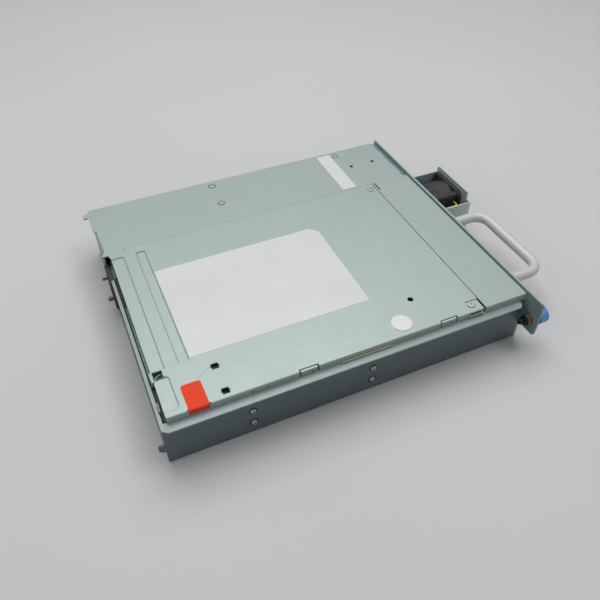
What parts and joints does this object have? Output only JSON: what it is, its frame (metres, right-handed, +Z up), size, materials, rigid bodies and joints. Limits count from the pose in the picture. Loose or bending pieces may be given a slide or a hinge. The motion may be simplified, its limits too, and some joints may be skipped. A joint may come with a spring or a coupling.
{
  "type": "data tape drive",
  "caption": "Half-height data tape drive in a removable steel library sled with loader, reel path, fan, handle and captive thumb screws.",
  "frame": {"origin": "centre of the tray's underside, between the two side walls and halfway from the front plate to the rear panel", "axes": "+X from the cartridge mouth to the rear panel and handle, +Z up, -Y towards the wall with the drive's side screws"},
  "size_m": [0.3044, 0.247, 0.045],
  "materials": {
    "galvanised": "satin zinc-coated steel sheet",
    "steel": "bright steel",
    "castAlloy": "matt die-cast alloy",
    "barAlloy": "satin anodised bar",
    "blackPlastic": "black moulding",
    "fanPlastic": "dark grey moulding",
    "bluePlastic": "blue moulding with a soft sheen",
    "greyPlastic": "grey moulding",
    "whitePlastic": "pale moulding",
    "boardGreen": "green solder mask",
    "copper": "wound coils",
    "ribbonGrey": "flat cable",
    "leadYellow": "insulated lead",
    "leadBlack": "insulated lead"
  },
  "bodies": {
    "sled": {"sled_tray": "galvanised", "rear_panel": "galvanised", "drive_cover": "galvanised", "sled_cover": "galvanised", "cover_posts": "steel", "cover_screws": "steel", "cover_clips": "steel", "handle": "barAlloy", "handle_screws": "steel", "drive_screws": "steel", "base_screws": "steel", "near_ferrule": "steel", "far_ferrule": "steel", "near_spring": "steel", "far_spring": "steel", "fan_bracket": "galvanised", "fan_grille": "galvanised", "fan_frame": "fanPlastic", "fan_stator": "copper", "fan_lead_yellow": "leadYellow", "fan_lead_black": "leadBlack", "fan_socket": "blackPlastic", "port_housing": "blackPlastic", "port_shells": "galvanised", "jack_posts": "steel", "sled_board": "boardGreen", "sled_board_parts": "blackPlastic", "docking_board": "boardGreen", "docking_connector": "blackPlastic", "docking_shell": "galvanised", "drive_chassis": "castAlloy", "mouth_frame": "greyPlastic", "main_board": "boardGreen", "board_chips": "blackPlastic", "mechanism_pins": "steel", "spindle_stators": "copper", "head_posts": "steel", "load_motor": "steel", "board_ribbon": "ribbonGrey", "dock_ribbon": "ribbonGrey", "ribbon_headers": "blackPlastic"},
    "near_collar": {"near_washer": "blackPlastic"},
    "far_collar": {"far_washer": "blackPlastic"},
    "near_thumb": {"near_knob": "bluePlastic"},
    "far_thumb": {"far_knob": "bluePlastic"},
    "fan_wheel": {"fan_impeller": "fanPlastic"},
    "carriage": {"loader_carriage": "steel"},
    "cradle": {"cartridge_tray": "steel"},
    "wheel": {"load_gear": "whitePlastic"},
    "pinion": {"motor_pinion": "steel"},
    "hub": {"supply_hub": "blackPlastic"},
    "reel": {"takeup_reel": "blackPlastic"},
    "head": {"tape_head": "greyPlastic"},
    "threader": {"threader_arm": "greyPlastic"},
    "roller_1": {"guide_roller_1": "whitePlastic"},
    "roller_2": {"guide_roller_2": "whitePlastic"},
    "roller_3": {"guide_roller_3": "whitePlastic"},
    "roller_4": {"guide_roller_4": "whitePlastic"}
  },
  "joints": [
    {"name": "near_thumb_slide", "type": "slide", "parent": "sled", "child": "near_collar", "axis": [1, 0, 0], "range_m": [-0.0015, 0], "stiffness_N_per_m": 300, "deforming": ["near_spring"]},
    {"name": "near_thumb_turn", "type": "hinge", "parent": "near_collar", "child": "near_thumb", "pos_m": [0.13, -0.1158, 0.026], "axis": [1, 0, 0], "continuous": true},
    {"name": "far_thumb_slide", "type": "slide", "parent": "sled", "child": "far_collar", "axis": [1, 0, 0], "range_m": [-0.0015, 0], "stiffness_N_per_m": 300, "deforming": ["far_spring"]},
    {"name": "far_thumb_turn", "type": "hinge", "parent": "far_collar", "child": "far_thumb", "pos_m": [0.13, 0.1158, 0.012], "axis": [1, 0, 0], "continuous": true},
    {"name": "fan_spin", "type": "hinge", "parent": "sled", "child": "fan_wheel", "pos_m": [0.14, 0.0341, 0.019], "axis": [1, 0, 0], "continuous": true},
    {"name": "load_slide", "type": "slide", "parent": "sled", "child": "carriage", "axis": [1, 0, 0], "range_m": [0, 0.018]},
    {"name": "cradle_drop", "type": "slide", "parent": "carriage", "child": "cradle", "axis": [0, 0, 1], "range_m": [-0.0035, 0]},
    {"name": "load_gear_turn", "type": "hinge", "parent": "sled", "child": "wheel", "pos_m": [-0.06, -0.0956, 0.024], "axis": [0, 0, 1], "range_deg": [-207.26, 1]},
    {"name": "motor_pinion_turn", "type": "hinge", "parent": "sled", "child": "pinion", "pos_m": [-0.05148, -0.0985, 0.024], "axis": [0, 0, 1], "range_deg": [-1, 258.83]},
    {"name": "supply_hub_spin", "type": "hinge", "parent": "sled", "child": "hub", "pos_m": [-0.067, -0.0325, 0.007], "axis": [0, 0, 1], "continuous": true},
    {"name": "takeup_spin", "type": "hinge", "parent": "sled", "child": "reel", "pos_m": [0.03, -0.0325, 0.015], "axis": [0, 0, 1], "continuous": true},
    {"name": "head_shift", "type": "slide", "parent": "sled", "child": "head", "axis": [0, 0, 1], "range_m": [-0.0015, 0.0015]},
    {"name": "threader_swing", "type": "hinge", "parent": "sled", "child": "threader", "pos_m": [-0.008, -0.014, 0.03], "axis": [0, 0, 1], "range_deg": [-107, 0]},
    {"name": "roller_1_spin", "type": "hinge", "parent": "sled", "child": "roller_1", "pos_m": [-0.006, 0.0265, 0.016], "axis": [0, 0, 1], "continuous": true},
    {"name": "roller_2_spin", "type": "hinge", "parent": "sled", "child": "roller_2", "pos_m": [0.007, 0.0315, 0.016], "axis": [0, 0, 1], "continuous": true},
    {"name": "roller_3_spin", "type": "hinge", "parent": "sled", "child": "roller_3", "pos_m": [0.031, 0.0315, 0.016], "axis": [0, 0, 1], "continuous": true},
    {"name": "roller_4_spin", "type": "hinge", "parent": "sled", "child": "roller_4", "pos_m": [0.044, 0.0265, 0.016], "axis": [0, 0, 1], "continuous": true}
  ],
  "couplings": [
    {"joint": "load_gear_turn", "follows": "load_slide", "rad_per_m": -200},
    {"joint": "motor_pinion_turn", "follows": "load_slide", "rad_per_m": 250}
  ]
}
